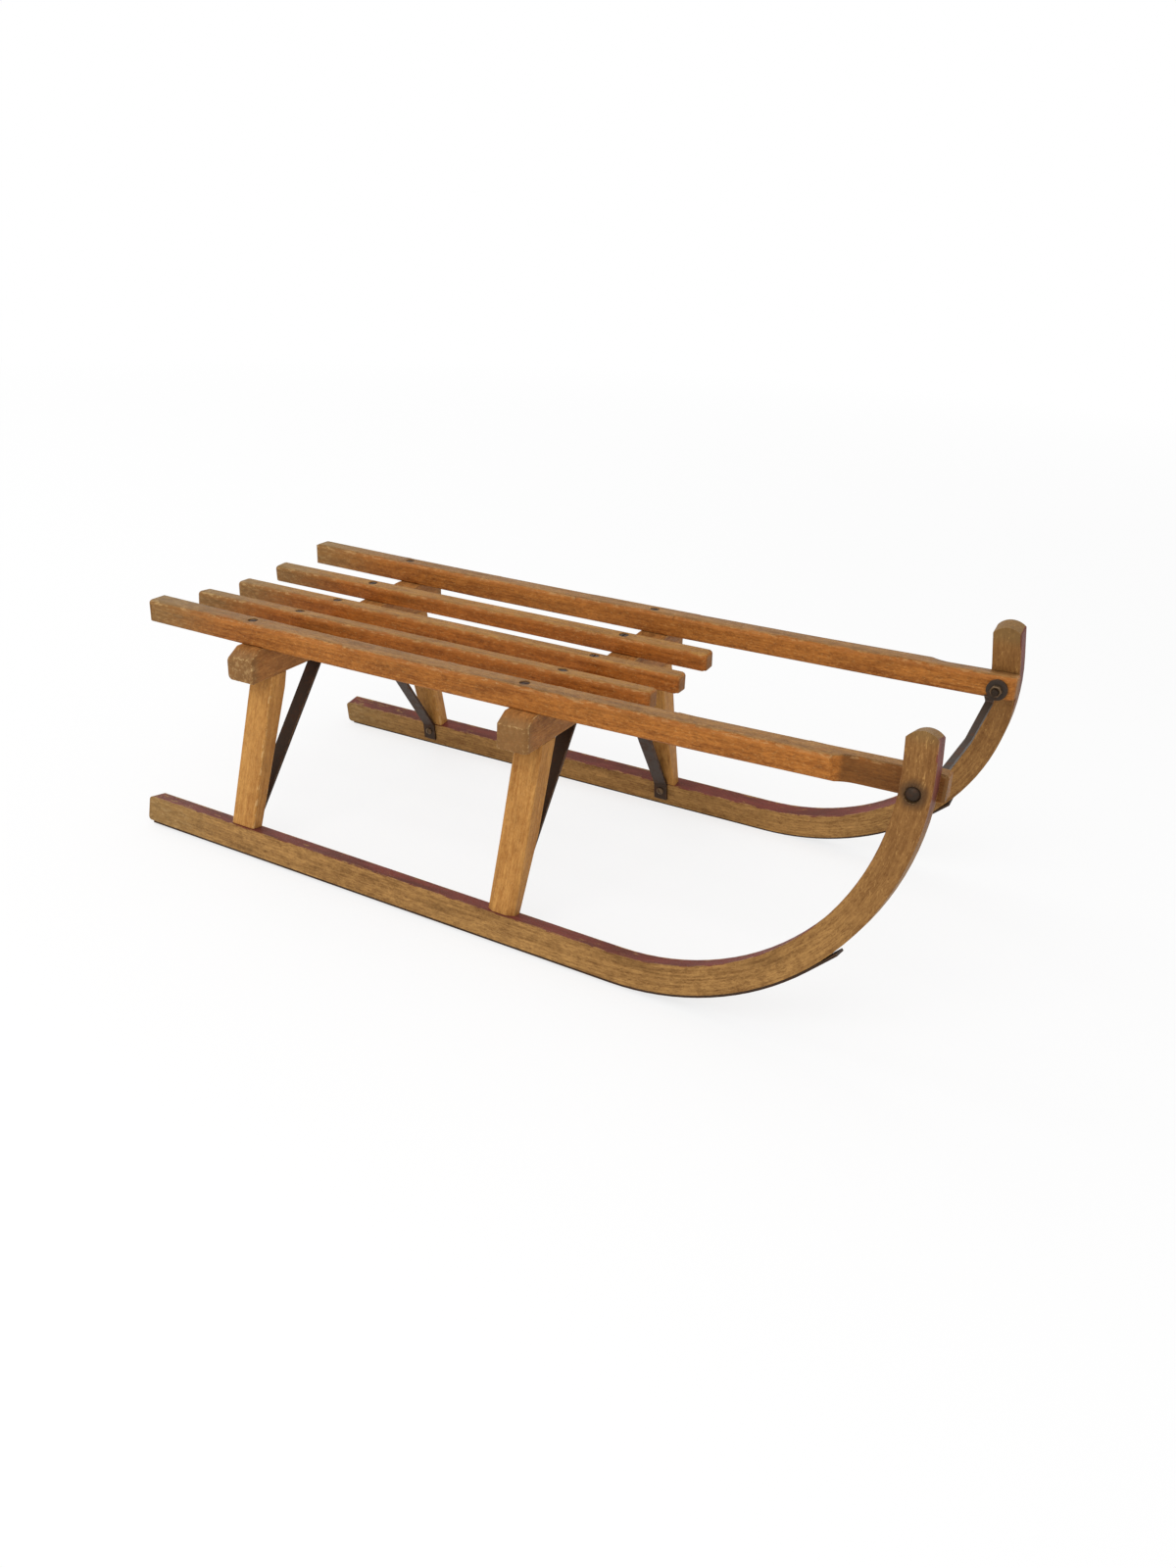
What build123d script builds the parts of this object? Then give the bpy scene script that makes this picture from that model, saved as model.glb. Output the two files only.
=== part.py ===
"""Slatted wooden sled: bent runners, splayed legs, cross bearers, five seat bars and forged ironwork.

Frame: +X is forward (the horns), +Y is left, +Z is up, and the ground is z = 0.
The origin lies on the ground, halfway between the slats' rear ends and the rails' front ends.
All sizes are in millimetres, and all angles in degrees.
"""
from build123d import *
import math
import os

os.makedirs("parts", exist_ok=True)

# ---------------------------------------------------------------- driving dimensions
# Overall stance
overall_length = 818.0          # rear ends of the slats to the front ends of the rails
half_track = 186.5              # sled's centre line to a runner's outer lower edge, at mid-length
toe_angle = 1.0                 # each runner points this far outwards
lean_angle = 9.8                # each side frame leans this far inwards

# Runners, bent from one plank each
runner_thickness = 18.5
runner_height = 25.8            # without the steel strip
runner_rear_gap = 12.0          # slats reach this far behind the runners
runner_front_gap = 5.0          # the right rail reaches this far ahead of the horn
lower_bend_radius = 257.0       # of the strip's underside
upper_bend_radius = 235.0
bend_change_angle = 27.0        # the lower radius gives way to the upper one here
bend_angle = 95.5               # turned from level to the horn
left_horn_reach = 60.5          # top of the horn above its bolt
right_horn_reach = 50.0
horn_crown = 6.0                # rise of the horn's arched top
runner_rear_round = 4.0

# Steel strips under the runners
strip_thickness = 2.5
strip_inset = 1.0               # bare wood left each side of the strip
strip_rear_gap = 6.0            # from the runner's rear end to the strip
strip_bend_angle = 44.0         # the strip follows the bend this far
strip_tip_length = 30.0         # then runs out straight, clear of the wood

# Seat: bearers and bars share one plane, which rises forward
seat_height = 184.0             # underside of the bearers, at mid-length
seat_pitch = 0.55

# Cross bearers
rear_bearer_gap = 136.5         # rear ends of the slats to the middle of the rear bearer
front_bearer_gap = 372.5        # front ends of the rails to the middle of the front bearer
bearer_width = 31.0             # along the sled
bearer_mid_height = 24.3        # thickness at the middle of the hollow
bearer_end_height = 32.0        # thickness under the rails
bearer_overhang = 18.5          # bearer's end beyond the rail
bearer_bevel_drop = 8.0         # bevel at the upper end corners
bearer_bevel_run = 13.0
rear_bearer_round = 5.0         # rear edges of the rear bearer
front_bearer_chamfer = 3.0      # front corners of the front bearer's ends
mid_flat = 22.0                 # level middle of the hollow

# Outer rails
rail_width = 24.8
rail_thickness = 22.0
rail_bow_radius = 24000.0       # the rails curve up towards both ends
rail_rear_gap = 3.5             # slats reach this far behind the rails
left_rail_setback = 5.0         # the left rail ends this far behind the right one
rail_notch_depth = 6.6          # recess for the horn, at the bolt
rail_notch_length = 70.0        # and back from the bolt
rail_notch_radius = 32.0
rail_toe_angle = -0.23          # the rails draw together forward
horn_clearance = 0.05
top_round = 4.6                 # upper long edges of rails and slats
under_bevel = 1.2               # lower long edges
end_round = 5.5                 # corners of bar ends, in plan

# Inner slats
slat_width = 20.4
slat_thickness = 17.2
slat_spacing = 62.5             # between slat centre lines
slat_front_reach = 88.0         # slats' front ends ahead of the front bearer's middle

# Legs
leg_depth = 28.0                # along the sled
leg_top_inset = 8.0             # leg's middle, inwards from the rail's centre line
rear_leg_top_width = 21.0       # across the sled, under the bearer
front_leg_top_width = 25.5
rear_knee_height = 136.0        # above the foot, where the taper begins
front_knee_height = 68.0
rear_knee_width = 23.0
front_knee_width = 22.5
rear_knee_shift = 1.6           # middle of the knee, inwards from the line between foot and top
front_knee_shift = 4.8
foot_width = 14.0
foot_inset = 9.5                # foot's middle, inwards from the runner's outer face
leg_edge = 1.2                  # chamfer of the leg's long edges
front_foot_edge = 5.0           # to which the front legs' outer chamfers widen below the knee
front_foot_edge_run = 8.0
tenon_depth = 12.0              # tenons' size along the sled
top_tenon_width = 10.0
foot_tenon_width = 6.0
top_tenon_length = 14.0
foot_tenon_length = 12.0
tenon_clearance = 0.1

# Horn bolts
bolt_gap = 21.5                 # front end of the right rail to the bolt
bolt_drop = 1.8                 # below the middle of the rail's thickness
bolt_radius = 3.0
bolt_clearance = 0.2
bolt_head_radius = 6.6
bolt_head_height = 4.2
bolt_head_taper = 2.6           # the head's rim lies this far outside its flat top
nut_across_flats = 10.0
nut_height = 5.0
nut_clearance = 0.05
bolt_tip = 4.0

# Pull iron between the horns
iron_thickness = 3.5
iron_width = 10.0
iron_eye_radius = 9.8
iron_drop = 13.5                # bar's upper bends below the bolts
iron_setback = 6.2              # bar's middle line behind the bolts
iron_bow = 13.5                 # bar's lower bends below the upper ones
iron_low_half = 45.0            # half the length between the lower bends
iron_bend_radius = 3.5
iron_clearance = 0.1            # eye off the rail

# Steel stays
stay_width = 15.5
stay_thickness = 3.0
stay_foot_length = 19.0         # bent end on the runner's inner face
stay_top_length = 20.0          # bent end under the bearer
rear_stay_top_y = 42.0          # bend below the bearer, from the sled's centre line
front_stay_top_y = 54.0
stay_bend_radius = 4.0
stay_clearance = 0.15           # stay's foot off the runner

# Screw heads
seat_screw_setback = 6.0        # seat screws behind the bearers' middle
seat_screw_radius = 5.0
seat_screw_height = 2.0
seat_screw_sink = 0.5           # heads lie this far below the wood
seat_screw_clearance = 0.05
stay_screw_radius = 4.2
stay_screw_height = 2.4
slot_width = 1.3
slot_depth = 0.9

# ---------------------------------------------------------------- derived places
rear_end = -overall_length / 2
front_end = overall_length / 2
rail_rear = rear_end + rail_rear_gap
runner_rear = rear_end + runner_rear_gap
horn_front = front_end - runner_front_gap
bolt_x = front_end - bolt_gap
runner_top = strip_thickness + runner_height
bearer_places = {"rear": rear_end + rear_bearer_gap, "front": front_end - front_bearer_gap}
slat_front = bearer_places["front"] + slat_front_reach
leg_lead = (bearer_width - leg_depth) / 2    # legs stand flush with the bearers' fronts

toe = math.radians(toe_angle)
lean = math.radians(lean_angle)
sole_lift = (runner_thickness - strip_inset) * math.sin(lean)     # the sled stands on its inner edges
side = Plane(
    origin=(0, half_track, sole_lift),
    x_dir=(math.cos(toe), math.sin(toe), 0),
    z_dir=(math.sin(toe) * math.cos(lean), -math.cos(toe) * math.cos(lean), -math.sin(lean)),
)
pitch = math.radians(seat_pitch)
seat = Plane(
    origin=(0, 0, seat_height),
    x_dir=(math.cos(pitch), 0, math.sin(pitch)),
    z_dir=(-math.sin(pitch), 0, math.cos(pitch)),
)


def side_face_y(x, z, depth):
    """Y of the left side frame's layer this far inside its outer face."""
    inwards = (z - sole_lift) * math.sin(lean) + depth
    return half_track + x * math.tan(toe) - inwards / (math.cos(lean) * math.cos(toe))


# The rails' underside rests on the inner edges of both bearers.
rail_low_x = (bearer_places["rear"] + bearer_places["front"]) / 2
rail_rest = (bearer_places["front"] - bearer_places["rear"] - bearer_width) / 2
rail_bow_z = math.sqrt(rail_bow_radius ** 2 - rail_rest ** 2)
rail_rise = rail_bow_z - math.sqrt(rail_bow_radius ** 2 - (bolt_x - rail_low_x) ** 2)
bolt_height = (seat_height + bolt_x * math.tan(pitch) + bearer_end_height + rail_rise
               + rail_thickness / 2 - bolt_drop)
bolt_rise = (bolt_height - sole_lift) / math.cos(lean)            # in the leaning side frame
rail_toe = math.radians(rail_toe_angle)
rail_outer_y = (side_face_y(bolt_x, bolt_height, runner_thickness) + rail_notch_depth
                - bolt_x * math.tan(rail_toe))
rail_y = rail_outer_y - rail_width / 2                            # rail's centre line at mid-length
rail_inner_y = rail_y - rail_width / 2
hollow_slope = (bearer_end_height - bearer_mid_height) / (rail_inner_y - mid_flat / 2)
hollow_angle = math.degrees(math.atan(hollow_slope))

radius_change = lower_bend_radius - upper_bend_radius
bend_change = math.radians(bend_change_angle)
bend_start = horn_front - upper_bend_radius - radius_change * math.sin(bend_change)
everywhere = 4 * overall_length


def save(shape, name):
    shape.label = name
    export_step(shape, f"parts/{name}.step")


def save_pair(left, name):
    """Write the left piece and its mirror image on the right."""
    save(left, f"{name}_left")
    save(mirror(left, about=Plane.XZ), f"{name}_right")


# ---------------------------------------------------------------- side frames
def bent_line(rise, start, angle, tail):
    """Line, bend of two radii and straight tail, this far above the strip's underside."""
    lower_centre = Vector(bend_start, lower_bend_radius)
    towards = Vector(math.sin(bend_change), -math.cos(bend_change))
    upper_centre = lower_centre + towards * radius_change
    upper_turn = angle - bend_change_angle
    straight = Line((start, rise), (bend_start, rise))
    lower = CenterArc(lower_centre, lower_bend_radius - rise, -90.0, bend_change_angle)
    upper = CenterArc(upper_centre, upper_bend_radius - rise, bend_change_angle - 90.0, upper_turn)
    end = Line(upper @ 1, (upper @ 1) + (upper % 1) * tail)
    return [straight, lower, upper, end]


def bent_profile(low, high, start, angle, tail, crown):
    """Side view of a bent plank or strip, its far end straight or arched."""
    lower = bent_line(low, start, angle, tail)
    upper = bent_line(high, start, angle, tail)
    rear = Line(lower[0] @ 0, upper[0] @ 0)
    tips = (lower[-1] @ 1, upper[-1] @ 1)
    if crown > 0:
        peak = (tips[0] + tips[1]) / 2 + (lower[-1] % 1) * crown
        front = ThreePointArc(tips[0], peak, tips[1])
    else:
        front = Line(*tips)
    return make_face(lower + upper + [rear, front])


def make_runner(horn_reach):
    bend_end = bent_line((strip_thickness + runner_top) / 2, runner_rear, bend_angle, 1.0)[-1]
    straight = (bolt_rise + horn_reach - horn_crown - (bend_end @ 0).Y) / (bend_end % 1).Y
    profile = bent_profile(strip_thickness, runner_top, runner_rear, bend_angle, straight, horn_crown)
    heel = profile.vertices().sort_by(Axis.X)[:2]
    runner = side * extrude(fillet(heel, runner_rear_round), amount=runner_thickness)
    for place in bearer_places:
        runner -= tenon(place, "foot", tenon_clearance)
    return runner - bolt_bore() - bolt_head_recess()


def make_strip():
    start = runner_rear + strip_rear_gap
    profile = bent_profile(0.0, strip_thickness, start, strip_bend_angle, strip_tip_length, 0.0)
    return side.offset(strip_inset) * extrude(profile, amount=runner_thickness - 2 * strip_inset)


# ---------------------------------------------------------------- legs
def leg_top(place):
    """Middle of the leg under the bearer."""
    return (seat * Pos(bearer_places[place] + leg_lead, rail_y - leg_top_inset, 0)).position


def leg_foot(place):
    """Middle of the leg on the runner."""
    return (side * Pos(bearer_places[place] + leg_lead, runner_top, foot_inset)).position


def tenon(place, end, clearance):
    """Tenon, or with a clearance the mortise that it fits."""
    top, foot = leg_top(place), leg_foot(place)
    way = (top - foot).normalized()
    if end == "foot":
        origin, width, length = foot, foot_tenon_width, foot_tenon_length
    else:
        origin, width, length = top, top_tenon_width, top_tenon_length
    block = Box(tenon_depth + 2 * clearance, width + 2 * clearance, 2 * (length + clearance))
    return Plane(origin, x_dir=(1, 0, 0), z_dir=Vector(0, way.Y, way.Z)) * block


def leg_section(centre, width, edge, edge_run):
    """Horizontal section through a left leg. The edge and its run size the outer corners' chamfers."""
    depth, half = leg_depth / 2, width / 2
    outer = [(depth, half - edge), (depth - edge_run, half)]
    inner = [(depth - leg_edge, -half), (depth, leg_edge - half)]
    rear = [(-x, y) for x, y in reversed(inner + outer)]
    return Pos(centre) * make_face(Polyline(*(inner + outer + rear), close=True))


def make_leg(place):
    top, foot = leg_top(place), leg_foot(place)
    if place == "front":
        top_width, knee_height, knee_width, shift = (
            front_leg_top_width, front_knee_height, front_knee_width, front_knee_shift)
        low_edge, low_run = front_foot_edge, front_foot_edge_run
    else:
        top_width, knee_height, knee_width, shift = (
            rear_leg_top_width, rear_knee_height, rear_knee_width, rear_knee_shift)
        low_edge, low_run = leg_edge, leg_edge
    way = (top - foot) / (top.Z - foot.Z)
    knee = foot + way * knee_height - Vector(0, shift, 0)
    low = foot - way * runner_height / 2
    high = top + way * bearer_mid_height / 2
    sections = [
        leg_section(low, foot_width, low_edge, low_run),
        leg_section(knee, knee_width, leg_edge, leg_edge),
        leg_section(high, top_width, leg_edge, leg_edge),
    ]
    leg = loft(sections, ruled=True)
    leg &= side * Pos(0, runner_top + everywhere / 2, 0) * Box(everywhere, everywhere, everywhere)
    leg &= seat * Pos(0, 0, -everywhere / 2) * Box(everywhere, everywhere, everywhere)
    return leg + tenon(place, "foot", 0.0) + tenon(place, "top", 0.0)


# ---------------------------------------------------------------- cross bearers
def bearer_outline():
    end_y = rail_outer_y + bearer_overhang
    half = [
        (0.0, bearer_mid_height),
        (mid_flat / 2, bearer_mid_height),
        (rail_inner_y, bearer_end_height),
        (end_y - bearer_bevel_run, bearer_end_height),
        (end_y, bearer_end_height - bearer_bevel_drop),
        (end_y, 0.0),
        (0.0, 0.0),
    ]
    right = make_face(Polyline(*half, close=True))
    return right + mirror(right, about=Plane.YZ)


def make_bearer(place):
    x = bearer_places[place]
    bearer = extrude(Plane.YZ.offset(x) * bearer_outline(), amount=bearer_width / 2, both=True)
    if place == "rear":
        rear_face = bearer.faces().sort_by(Axis.X)[0]
        bearer = fillet(rear_face.edges().filter_by(Axis.Z, reverse=True), rear_bearer_round)
    else:
        ends = bearer.faces().sort_by(Axis.Y)
        corners = (ends[0].edges() + ends[-1].edges()).filter_by(Axis.Z).sort_by(Axis.X)
        bearer = chamfer(corners[-2:], front_bearer_chamfer)
    mortise = tenon(place, "top", tenon_clearance)
    return seat * bearer - mortise - mirror(mortise, about=Plane.XZ)


# ---------------------------------------------------------------- seat bars, in the seat's own frame
def bar_section(width, thickness):
    """Section on z = 0: upper edges rounded, lower edges bevelled."""
    section = Pos(0, thickness / 2) * Rectangle(width, thickness)
    section = fillet(section.vertices().sort_by(Axis.Y)[-2:], top_round)
    return chamfer(section.vertices().sort_by(Axis.Y)[:2], under_bevel)


def round_ends(bar, width, start, end):
    """Trims a bar to this length, its ends rounded in plan."""
    plan = Pos((start + end) / 2, 0) * RectangleRounded(end - start, width, end_round)
    for x in (start, end):
        waste = Pos(x, 0) * Rectangle(2 * end_round, 2 * width) - plan
        bar -= extrude(waste, amount=slat_width + rail_thickness, both=True)
    return bar


def straight_bar(width, thickness, start, end):
    section = Plane.YZ.offset(start - end_round / 2) * bar_section(width, thickness)
    return round_ends(extrude(section, amount=end - start + end_round), width, start, end)


def bowed_bar(width, thickness, start, end):
    """Bar curved up towards its ends."""
    axis = Axis((rail_low_x, 0, rail_bow_z), (0, 1, 0))
    section = Plane((rail_low_x, 0, rail_bow_z - rail_bow_radius), x_dir=(0, 1, 0), z_dir=(1, 0, 0))
    reach = (start - end_round / 2, end + end_round / 2)
    rear, front = [math.degrees((x - rail_low_x) / rail_bow_radius) for x in reach]
    blank = (section * bar_section(width, thickness)).rotate(axis, -front)
    return round_ends(revolve(blank, axis, front - rear), width, start, end)


def slat_place(y):
    """Underside of a slat on the hollow, tilted with the hollow's flank."""
    rise = max(abs(y) - mid_flat / 2, 0.0) * hollow_slope
    tilt = math.copysign(hollow_angle, y) if rise > 0 else 0.0
    return Pos(0, y, bearer_mid_height + rise) * Rot(tilt, 0, 0)


def rail_place():
    return Pos(0, rail_y, bearer_end_height) * Rot(0, 0, rail_toe_angle)


def seat_screw_rows():
    return [x - seat_screw_setback for x in bearer_places.values()]


def screw_head(radius, height):
    """Slotted head standing on z = 0."""
    head = Pos(0, 0, height / 2) * Cylinder(radius, height)
    return head - Pos(0, 0, height) * Box(2 * radius, slot_width, 2 * slot_depth)


def screw_holes(thickness):
    """Recesses for the seat screws' heads in a bar's upper face."""
    depth = seat_screw_height + seat_screw_sink
    hole = Cylinder(seat_screw_radius + seat_screw_clearance, 2 * depth)
    rows = [Pos(x, 0, thickness) * hole for x in seat_screw_rows()]
    return rows[0] + rows[1]


def screw_heads(thickness):
    head = screw_head(seat_screw_radius, seat_screw_height)
    base = thickness - seat_screw_sink - seat_screw_height
    return [Pos(x, 0, base) * head for x in seat_screw_rows()]


def make_slat(y):
    slat = straight_bar(slat_width, slat_thickness, rear_end, slat_front)
    slat -= screw_holes(slat_thickness)
    return seat * slat_place(y) * slat


def make_rail(setback):
    rail = bowed_bar(rail_width, rail_thickness, rail_rear, front_end - setback)
    rail -= screw_holes(rail_thickness)
    return seat * rail_place() * rail - horn_recess() - bolt_bore()


def horn_recess():
    """Clears the rail's outer side for the horn, with a hollow shoulder behind."""
    start = bolt_x - rail_notch_length + math.sqrt(rail_notch_radius * rail_width / 2)
    floor = runner_thickness + horn_clearance
    block = Pos(start + everywhere / 2, bolt_height, floor - rail_notch_radius) * Box(
        everywhere, 2 * bolt_height, 2 * rail_notch_radius)
    hollow = Pos(start, bolt_height, floor - rail_notch_radius) * Rot(90, 0, 0) * Cylinder(
        rail_notch_radius, 2 * bolt_height)
    return side * (block + hollow)


def make_seat_screws():
    heads = []
    for y in (-slat_spacing, 0.0, slat_spacing):
        heads += [slat_place(y) * head for head in screw_heads(slat_thickness)]
    left = [rail_place() * head for head in screw_heads(rail_thickness)]
    right = [mirror(head, about=Plane.XZ) for head in left]
    return Compound(children=[seat * head for head in heads + left + right])


# ---------------------------------------------------------------- horn bolts and pull iron
def rail_face_y():
    """Inner face of the left rail beside the bolt."""
    return rail_y + bolt_x * math.tan(rail_toe) - rail_width / 2


def bolt_place(y):
    """On the left bolt's axis at this Y, +Z outwards."""
    return Plane((bolt_x, y, bolt_height), x_dir=(1, 0, 0), z_dir=(0, 1, 0))


def bolt_bore():
    return bolt_place(rail_y) * Cylinder(bolt_radius + bolt_clearance, 2 * half_track)


def bolt_seat_y():
    """Bottom of the recess that the bolt's head is drawn into, square to the bolt."""
    fall = (bolt_head_radius + bolt_clearance) * (math.tan(lean) + math.tan(toe))
    return side_face_y(bolt_x, bolt_height, 0.0) - fall


def bolt_head_recess():
    depth = 4 * bolt_head_height
    return bolt_place(bolt_seat_y() + depth / 2) * Cylinder(bolt_head_radius + bolt_clearance, depth)


def make_bolt():
    head_y = bolt_seat_y()
    tip_y = rail_face_y() - iron_clearance - iron_thickness - nut_height - bolt_tip
    head = bolt_place(head_y + bolt_head_height / 2) * Cone(
        bolt_head_radius, bolt_head_radius - bolt_head_taper, bolt_head_height)
    return head + bolt_place((head_y + tip_y) / 2) * Cylinder(bolt_radius, head_y - tip_y)


def make_nut():
    hexagon = RegularPolygon(nut_across_flats / 2, 6, major_radius=False)
    hexagon -= Circle(bolt_radius + nut_clearance)
    inner_y = rail_face_y() - iron_clearance - iron_thickness - nut_height
    return bolt_place(inner_y) * extrude(hexagon, amount=nut_height)


def strap(points, radius, thickness):
    """Face of a bent flat bar, seen edge on, centred on a line through the points."""
    line = FilletPolyline(*points, radius=radius)
    return make_face(offset(line, amount=thickness / 2, side=Side.BOTH, kind=Kind.INTERSECTION))


def make_pull_iron():
    """Flat bar across the nose: an eye at each end, a bend below it and a level middle further down."""
    eye_y = rail_face_y() - iron_clearance - iron_thickness / 2
    plane = Plane((bolt_x - iron_setback, 0, bolt_height), x_dir=(0, 1, 0), z_dir=(1, 0, 0))
    start = nut_across_flats / 2 + iron_thickness
    left = [(eye_y, -start), (eye_y, -iron_drop), (iron_low_half, -iron_drop - iron_bow)]
    points = left + [(-y, rise) for y, rise in reversed(left)]
    profile = plane * strap(points, iron_bend_radius, iron_thickness)
    iron = extrude(profile, amount=iron_width / 2, both=True)
    eye = bolt_place(eye_y) * Cylinder(iron_eye_radius, iron_thickness)
    iron = iron + eye + mirror(eye, about=Plane.XZ)
    bore = bolt_bore()
    return iron - bore - mirror(bore, about=Plane.XZ)


# ---------------------------------------------------------------- steel stays
def stay_top_y(place):
    return front_stay_top_y if place == "front" else rear_stay_top_y


def bearer_underside(x):
    return seat_height + x * math.tan(pitch)


def stay_layer(place, z, layers):
    """Point at some thicknesses of stay inside the runner's inner face."""
    x = bearer_places[place]
    return (side_face_y(x, z, runner_thickness + stay_clearance + layers * stay_thickness), z)


def make_stay(place):
    x = bearer_places[place]
    under = bearer_underside(x - stay_width / 2) - stay_thickness / 2
    top_y = stay_top_y(place)
    points = [
        stay_layer(place, runner_top - stay_foot_length, 0.5),
        stay_layer(place, runner_top, 0.5),
        (top_y, under),
        (top_y - stay_top_length, under),
    ]
    profile = Plane.YZ.offset(x) * strap(points, stay_bend_radius, stay_thickness)
    return extrude(profile, amount=stay_width / 2, both=True)


def make_stay_screws():
    """One head on each stay's foot and one under its upper end."""
    head = screw_head(stay_screw_radius, stay_screw_height)
    inwards = (0, -math.cos(lean), -math.sin(lean))
    heads = []
    for place, x in bearer_places.items():
        y, z = stay_layer(place, runner_top - stay_foot_length / 2, 1.0)
        top_y = stay_top_y(place) - stay_top_length / 2
        under = bearer_underside(x - stay_width / 2) - stay_thickness
        foot = Plane((x, y, z), x_dir=(1, 0, 0), z_dir=inwards) * head
        top = Plane((x, top_y, under), x_dir=(1, 0, 0), z_dir=(0, 0, -1)) * head
        heads += [foot, top, mirror(foot, about=Plane.XZ), mirror(top, about=Plane.XZ)]
    return Compound(children=heads)


def main():
    save(make_runner(left_horn_reach), "runner_left")
    save(mirror(make_runner(right_horn_reach), about=Plane.XZ), "runner_right")
    save_pair(make_strip(), "runner_strip")
    save(make_rail(left_rail_setback), "rail_left")
    save(mirror(make_rail(0.0), about=Plane.XZ), "rail_right")
    save_pair(make_bolt(), "horn_bolt")
    save_pair(make_nut(), "horn_nut")
    for place in bearer_places:
        save(make_bearer(place), f"bearer_{place}")
        save_pair(make_leg(place), f"leg_{place}")
        save_pair(make_stay(place), f"stay_{place}")
    save(make_slat(-slat_spacing), "slat_right")
    save(make_slat(0.0), "slat_middle")
    save(make_slat(slat_spacing), "slat_left")
    save(make_pull_iron(), "pull_iron")
    save(make_seat_screws(), "seat_screws")
    save(make_stay_screws(), "stay_screws")


if __name__ == "__main__":
    main()
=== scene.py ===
"""Studio scene of the slatted wooden sled: softened wood, worn varnish and paint, forged ironwork.

Metres, in the CAD frame: +X is forward to the horns, +Y is left, +Z is up, the ground is z = 0.
"""

import functools
import math

import bmesh
import bpy
import numpy as np
from mathutils import Matrix, Vector


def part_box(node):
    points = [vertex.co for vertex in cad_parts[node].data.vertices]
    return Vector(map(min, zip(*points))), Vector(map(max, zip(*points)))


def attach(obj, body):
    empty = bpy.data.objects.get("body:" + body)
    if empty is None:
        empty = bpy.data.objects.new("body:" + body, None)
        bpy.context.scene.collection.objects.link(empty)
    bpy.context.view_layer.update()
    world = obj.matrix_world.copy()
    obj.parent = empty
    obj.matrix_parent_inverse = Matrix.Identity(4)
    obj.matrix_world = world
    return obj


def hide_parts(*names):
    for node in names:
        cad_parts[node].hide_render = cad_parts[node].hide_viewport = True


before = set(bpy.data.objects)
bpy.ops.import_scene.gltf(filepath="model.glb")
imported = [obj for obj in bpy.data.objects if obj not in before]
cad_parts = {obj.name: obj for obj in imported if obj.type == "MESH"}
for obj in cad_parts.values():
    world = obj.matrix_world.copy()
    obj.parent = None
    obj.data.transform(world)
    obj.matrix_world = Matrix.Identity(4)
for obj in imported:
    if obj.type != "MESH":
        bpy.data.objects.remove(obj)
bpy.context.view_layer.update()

MM = 0.001

# ---------------------------------------------------------------- places shared with the CAD
LEAN = math.radians(9.8)            # side frames lean inwards
TOE = math.radians(1.0)             # and open forwards
HALF_TRACK = 186.5 * MM             # centre line to a runner's outer lower edge
SOLE_LIFT = 3.0 * MM                # of that edge: the sled stands on its inner edges
LOWER_BEND = 257.0 * MM             # radii of the runner's underside
UPPER_BEND = 235.0 * MM
BEND_CHANGE = math.radians(27.0)    # turned from level, where the lower radius gives way
BEND_END = math.radians(95.5)       # and at the horn
RUNNER_TOP = 28.3 * MM              # above the strip's underside
RUNNER_THICKNESS = 18.5 * MM
STRIP_THICKNESS = 2.5 * MM
RAIL_AHEAD = 5.0 * MM               # the right rail reaches this far ahead of the horns
HORN_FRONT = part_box("rail_right")[1].x - RAIL_AHEAD
BEND_START = HORN_FRONT - UPPER_BEND - (LOWER_BEND - UPPER_BEND) * math.sin(BEND_CHANGE)
PITCH = math.radians(0.55)          # of the seat
RAIL_BOW = 24.0                     # radius of the rails' upward curve
RAIL_LOW = (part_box("bearer_rear")[0].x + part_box("bearer_front")[1].x) / 2
RECESS_REACH = 60.0 * MM            # the rail's recess for the horn, back from the bolt's head
RECESS_WALL = 16.5 * MM             # thickness of the rail beside the recess
RECESS_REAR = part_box("horn_bolt_right")[0].x - RECESS_REACH
RECESS_FLOOR = RECESS_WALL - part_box("rail_right")[1].y      # its distance from the centre line

# ---------------------------------------------------------------- worn edges
WELD = 0.02 * MM
FLAT_ANGLE = math.radians(0.4)      # faces closer than this are one face
SHARP_ANGLE = math.radians(32.0)    # sharper edges are rounded
WEAR = {"rail": 1.0, "slat": 1.0, "runner": 0.9, "bearer": 0.9, "leg": 1.0, "stay": 0.45,
        "strip": 0.4, "iron": 0.5}  # width of the rounding, mm
WEAR_STEPS = 2
BAR_CORNER = 5.5 * MM               # rounding of the bars' ends, in plan
BAR_ARRIS = 4.6 * MM                # and of their upper long edges
EASE_TOP = 4.0 * MM                 # rounding over the ends' upper edges
EASE_UNDER = 1.2 * MM               # and their lower edges
EASE_CUTS = (0.04, 0.16, 0.34, 0.6, 1.0)    # shares of it where the mesh is cut

# ---------------------------------------------------------------- where the finish changes
SEAT_REAR_FADE = 110.0 * MM         # the olive rear ends fade out over these lengths
RUNNER_REAR_FADE = 130.0 * MM
HORN_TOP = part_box("runner_right")[1].z
CROWN_FADE = 14.0 * MM              # olive top of the horns
BEARER_END = 14.0 * MM              # grey-brown ends of the bearers
BEARER_FADE = 13.0 * MM
REAR_BEARER = -0.1                  # x by which a bearer is the rear one
ARRIS_BAND = 6.0 * MM               # orange band below a bar's upper face
ARRIS_FADE = 3.5 * MM
TOP_EDGE = 1.4 * MM                 # where the upper face's colour begins
RUB_AND_HIGHLIGHT_LINE = 3.4 * MM                 # a pale line along the arris, worn wood and partly a painted highlight, lies between this depth
RUB_AND_HIGHLIGHT_TOP = 0.3 * MM                  # and this one
RUB_AND_HIGHLIGHT_FADE = 0.7 * MM
SOFT_BORDER = 1.2 * MM
RAGGED_SEAT = 4.0 * MM              # how much these borders waver
RECESS_FADE = 6.0 * MM              # the recess's dirt and painted shade fade out along the rail
RECESS_EDGE = 2.0 * MM              # and behind the recess's floor
TIP_DEPTH = 0.8 * MM                # end grain on the bars' ends
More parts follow.
